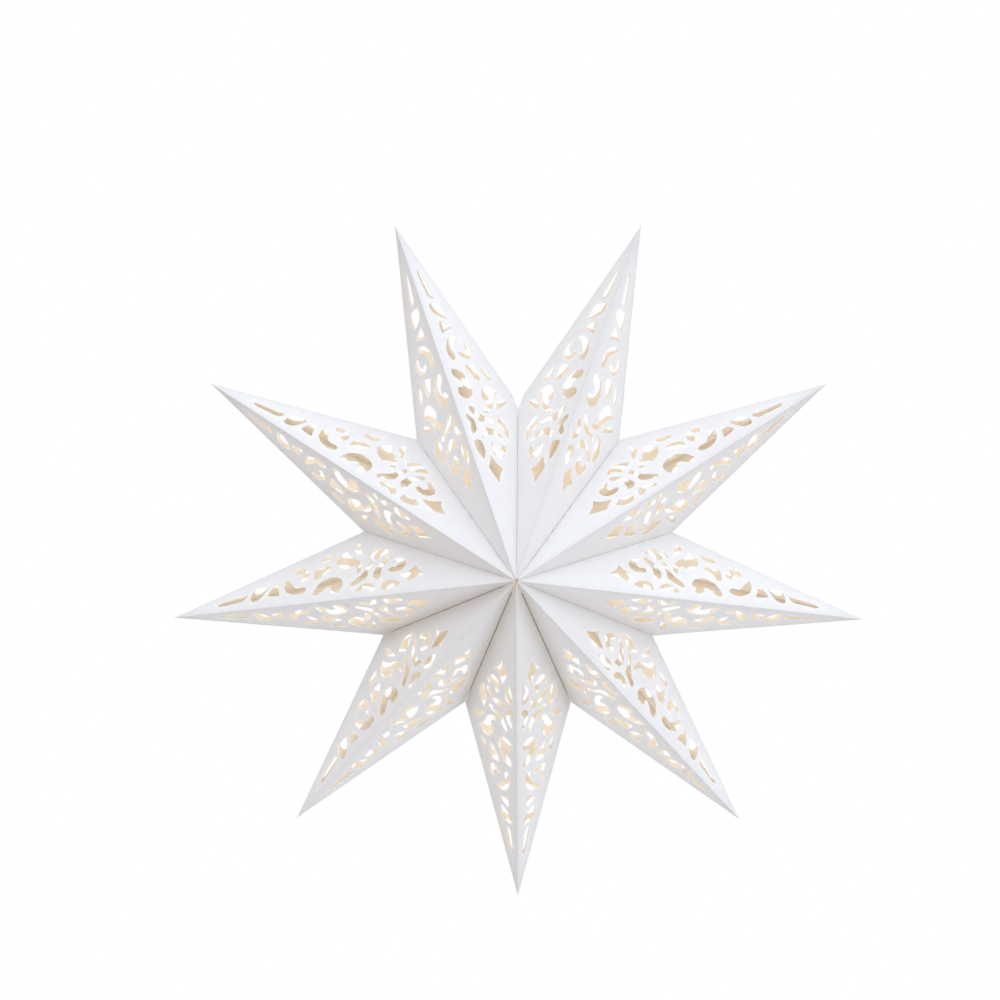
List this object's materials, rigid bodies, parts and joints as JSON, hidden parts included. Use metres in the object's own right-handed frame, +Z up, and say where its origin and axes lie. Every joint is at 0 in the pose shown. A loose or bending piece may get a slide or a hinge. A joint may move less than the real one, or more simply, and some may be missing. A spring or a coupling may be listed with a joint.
{
  "type": "hanging paper star",
  "caption": "Large folded paper star for hanging up, hollow and pierced all over with scroll and leaf shapes that let light through.",
  "frame": {"origin": "middle of the star: on its middle plane, on the line through its front and back hubs", "axes": "+Z up through the cord hole in the top valley, +Y from the front hub to the back hub, +X to the right as seen from the front"},
  "size_m": [0.5908, 0.2066, 0.5819],
  "materials": {
    "card": "matt white card"
  },
  "bodies": {
    "root": {"point_1": "card", "point_2": "card", "point_3": "card", "point_4": "card", "point_5": "card", "point_6": "card", "point_7": "card", "point_8": "card", "point_9": "card"}
  },
  "joints": []
}
